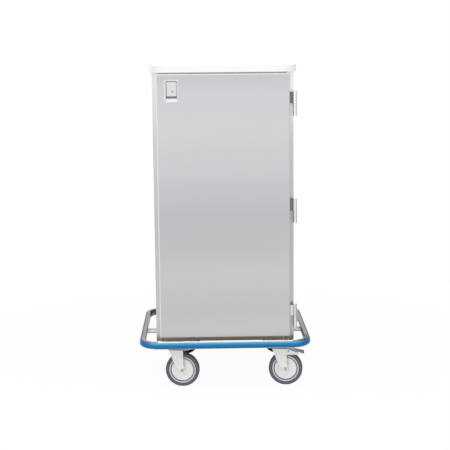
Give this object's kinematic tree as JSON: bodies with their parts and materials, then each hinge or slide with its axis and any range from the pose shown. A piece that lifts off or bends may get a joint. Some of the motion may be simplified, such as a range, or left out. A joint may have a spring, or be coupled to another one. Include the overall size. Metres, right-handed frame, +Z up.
{
  "type": "case cart",
  "caption": "Closed upright cabinet cart with a side-hinged latching door, wire shelves, a wraparound bumper and swivel casters, for moving sterile instrument cases.",
  "frame": {"origin": "on the floor, under the middle of the bumper ring", "axes": "+Z up, -Y towards the door side, +X towards the hinge side"},
  "size_m": [0.77, 0.728, 1.438],
  "materials": {
    "stainless_sheet": "number 4 satin brushed stainless sheet",
    "shelf_support": "satin stainless",
    "shelf_wire": "bright plated wire",
    "base_tube": "mill finish stainless tube",
    "bumper_channel": "satin extruded channel",
    "bumper_vinyl": "semi-gloss blue vinyl",
    "gasket": "matt grey seal",
    "hinge_steel": "satin stainless",
    "fasteners": "plain stainless",
    "latch_metal": "satin chrome",
    "lock_chrome": "bright chrome",
    "caster_zinc": "bright zinc plate",
    "wheel_core": "off-white moulded plastic",
    "tyre": "slate grey polyurethane tread",
    "brake_pedal": "dark grey coated steel"
  },
  "bodies": {
    "cabinet": {"side_panel_left": "stainless_sheet", "side_panel_right": "stainless_sheet", "door_posts": "stainless_sheet", "back_panel": "stainless_sheet", "floor_panel": "stainless_sheet", "header": "stainless_sheet", "sill": "stainless_sheet", "top_cap": "stainless_sheet", "shelf_standards": "shelf_support", "shelf_clips": "shelf_support", "shelf_lower": "shelf_wire", "shelf_upper": "shelf_wire", "base_rails": "base_tube", "cross_ties": "base_tube", "bumper_channel": "bumper_channel", "bumper_strip": "bumper_vinyl", "hinge_cabinet_leaf_upper": "hinge_steel", "hinge_cabinet_leaf_middle": "hinge_steel", "hinge_cabinet_leaf_lower": "hinge_steel", "hinge_pins": "hinge_steel", "cabinet_hinge_screws": "fasteners", "strike_plate": "stainless_sheet", "caster_plate_front_left": "caster_zinc", "caster_plate_front_right": "caster_zinc", "caster_plate_rear_left": "caster_zinc", "caster_plate_rear_right": "caster_zinc", "caster_bolts": "fasteners"},
    "door": {"door_skin": "stainless_sheet", "door_liner": "stainless_sheet", "door_gasket": "gasket", "hinge_door_leaf_upper": "hinge_steel", "hinge_door_leaf_middle": "hinge_steel", "hinge_door_leaf_lower": "hinge_steel", "door_hinge_screws": "fasteners", "latch_dish": "latch_metal", "paddle_pin": "fasteners", "latch_case": "stainless_sheet", "latch_screws": "fasteners", "bolt_spring": "fasteners"},
    "paddle": {"latch_paddle": "latch_metal"},
    "lock": {"lock_cylinder": "lock_chrome"},
    "bolt": {"latch_bolt": "latch_metal"},
    "swivel_front_left": {"caster_fork_front_left": "caster_zinc", "axle_front_left": "fasteners"},
    "wheel_front_left": {"wheel_core_front_left": "wheel_core", "tyre_front_left": "tyre"},
    "swivel_front_right": {"caster_fork_front_right": "caster_zinc", "axle_front_right": "fasteners"},
    "wheel_front_right": {"wheel_core_front_right": "wheel_core", "tyre_front_right": "tyre"},
    "pedal_front_right": {"brake_pedal_front_right": "brake_pedal"},
    "swivel_rear_left": {"caster_fork_rear_left": "caster_zinc", "axle_rear_left": "fasteners"},
    "wheel_rear_left": {"wheel_core_rear_left": "wheel_core", "tyre_rear_left": "tyre"},
    "pedal_rear_left": {"brake_pedal_rear_left": "brake_pedal"},
    "swivel_rear_right": {"caster_fork_rear_right": "caster_zinc", "axle_rear_right": "fasteners"},
    "wheel_rear_right": {"wheel_core_rear_right": "wheel_core", "tyre_rear_right": "tyre"}
  },
  "joints": [
    {"name": "door_hinge", "type": "hinge", "parent": "cabinet", "child": "door", "pos_m": [0.31325, -0.32, 0.8], "axis": [0, 0, 1], "range_deg": [0, 265]},
    {"name": "paddle_pull", "type": "hinge", "parent": "door", "child": "paddle", "pos_m": [-0.223, -0.312, 1.3575], "axis": [-1, 0, 0], "range_deg": [0, 30]},
    {"name": "bolt_slide", "type": "slide", "parent": "door", "child": "bolt", "axis": [1, 0, 0], "range_m": [0, 0.013], "stiffness_N_per_m": 300, "springref_m": -0.008, "deforming": ["bolt_spring"]},
    {"name": "lock_turn", "type": "hinge", "parent": "paddle", "child": "lock", "pos_m": [-0.219, -0.315, 1.324], "axis": [0, 1, 0], "range_deg": [0, 90]},
    {"name": "swivel_front_left", "type": "hinge", "parent": "cabinet", "child": "swivel_front_left", "pos_m": [-0.233, -0.274, 0.174], "axis": [0, 0, 1], "continuous": true},
    {"name": "wheel_front_left", "type": "hinge", "parent": "swivel_front_left", "child": "wheel_front_left", "pos_m": [-0.19315, -0.27749, 0.0762], "axis": [0.0872, 0.9962, 0], "continuous": true},
    {"name": "swivel_front_right", "type": "hinge", "parent": "cabinet", "child": "swivel_front_right", "pos_m": [0.233, -0.274, 0.174], "axis": [0, 0, 1], "continuous": true},
    {"name": "wheel_front_right", "type": "hinge", "parent": "swivel_front_right", "child": "wheel_front_right", "pos_m": [0.27278, -0.27818, 0.0762], "axis": [0.1045, 0.9945, 0], "continuous": true},
    {"name": "brake_front_right", "type": "hinge", "parent": "swivel_front_right", "child": "pedal_front_right", "pos_m": [0.2867, -0.27964, 0.16], "axis": [0.1045, 0.9945, 0], "range_deg": [0, 8]},
    {"name": "swivel_rear_left", "type": "hinge", "parent": "cabinet", "child": "swivel_rear_left", "pos_m": [-0.233, 0.274, 0.174], "axis": [0, 0, 1], "continuous": true},
    {"name": "wheel_rear_left", "type": "hinge", "parent": "swivel_rear_left", "child": "wheel_rear_left", "pos_m": [-0.19306, 0.27609, 0.0762], "axis": [-0.0523, 0.9986, 0], "continuous": true},
    {"name": "brake_rear_left", "type": "hinge", "parent": "swivel_rear_left", "child": "pedal_rear_left", "pos_m": [-0.17907, 0.27683, 0.16], "axis": [-0.0523, 0.9986, 0], "range_deg": [0, 8]},
    {"name": "swivel_rear_right", "type": "hinge", "parent": "cabinet", "child": "swivel_rear_right", "pos_m": [0.233, 0.274, 0.174], "axis": [0, 0, 1], "continuous": true},
    {"name": "wheel_rear_right", "type": "hinge", "parent": "swivel_rear_right", "child": "wheel_rear_right", "pos_m": [0.2729, 0.27121, 0.0762], "axis": [0.0698, 0.9976, 0], "continuous": true}
  ],
  "couplings": [
    {"joint": "bolt_slide", "follows": "paddle_pull", "m_per_rad": 0.02482}
  ]
}
